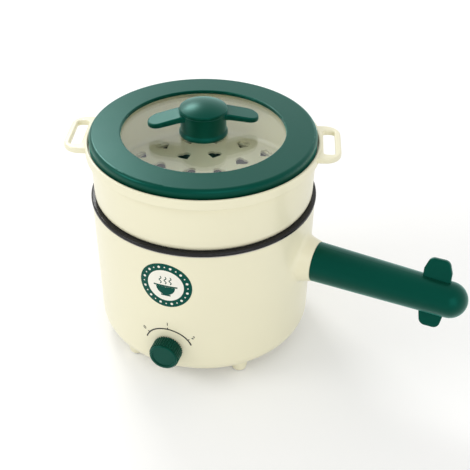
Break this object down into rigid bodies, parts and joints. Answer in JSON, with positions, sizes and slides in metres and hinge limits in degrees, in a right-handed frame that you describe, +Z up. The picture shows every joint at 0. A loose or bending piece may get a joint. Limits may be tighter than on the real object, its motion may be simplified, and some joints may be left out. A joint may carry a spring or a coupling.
{
  "type": "electric cooker",
  "caption": "Round electric cooker with a non-stick pot, long handle, control knob and rear inlet, a perforated steamer on top and a lift-off glass lid.",
  "frame": {"origin": "on the pot's axis at table level, in the plane of the foot pads", "axes": "+Z up, -Y is the front with the knob, +X nearly along the handle, +Y the back with the inlet"},
  "size_m": [0.3431, 0.2041, 0.2203],
  "materials": {
    "cream_plastic": "smooth moulded",
    "green_plastic": "satin moulded",
    "nonstick_pot": "dark non-stick coating",
    "lid_glass": "clear tempered",
    "steel": "plated",
    "aluminium": "cast",
    "brass": "machined",
    "silicone": "soft",
    "grey_rubber": "soft",
    "black_plastic": "matte moulded",
    "white_plastic": "heat-proof moulded",
    "lead_sleeve": "fibre sleeve"
  },
  "bodies": {
    "cooker": {"outer_shell": "cream_plastic", "base_cover": "cream_plastic", "foot_pads": "grey_rubber", "base_screws": "steel", "inner_pot": "nonstick_pot", "rim_seal": "silicone", "heater_plate": "aluminium", "heating_tube": "steel", "pot_studs": "steel", "stud_sleeves": "steel", "stud_nuts": "steel", "heat_shield": "aluminium", "thermostat": "white_plastic", "thermostat_bracket": "steel", "thermal_fuse": "white_plastic", "fuse_clip": "steel", "heater_screws": "steel", "lead_wires": "lead_sleeve", "rotary_switch": "black_plastic", "switch_cover": "black_plastic", "switch_tabs": "brass", "switch_nut": "brass", "inlet_housing": "black_plastic", "inlet_pins": "brass", "inlet_screws": "steel", "handle_grip": "green_plastic", "handle_wings": "green_plastic", "handle_bolt": "steel", "handle_washer": "steel", "handle_insert": "brass"},
    "knob": {"control_knob": "green_plastic", "switch_shaft": "white_plastic"},
    "steamer": {"steamer_basket": "cream_plastic", "steam_plate": "cream_plastic"},
    "lid": {"lid_ring": "green_plastic", "lid_glass": "lid_glass", "lid_knob_stem": "green_plastic", "lid_wings": "green_plastic", "lid_knob_cap": "green_plastic", "lid_gasket": "silicone", "lid_washer": "steel", "lid_screw": "steel"}
  },
  "joints": [
    {"name": "knob_turn", "type": "hinge", "parent": "cooker", "child": "knob", "pos_m": [0, -0.0931, 0.0375], "axis": [0, 1, 0], "range_deg": [0, 110]},
    {"name": "steamer_lift", "type": "slide", "parent": "cooker", "child": "steamer", "axis": [0, 0, 1], "range_m": [0, 0.032]},
    {"name": "lid_lift", "type": "slide", "parent": "steamer", "child": "lid", "axis": [0, 0, 1], "range_m": [0, 0.03]}
  ]
}
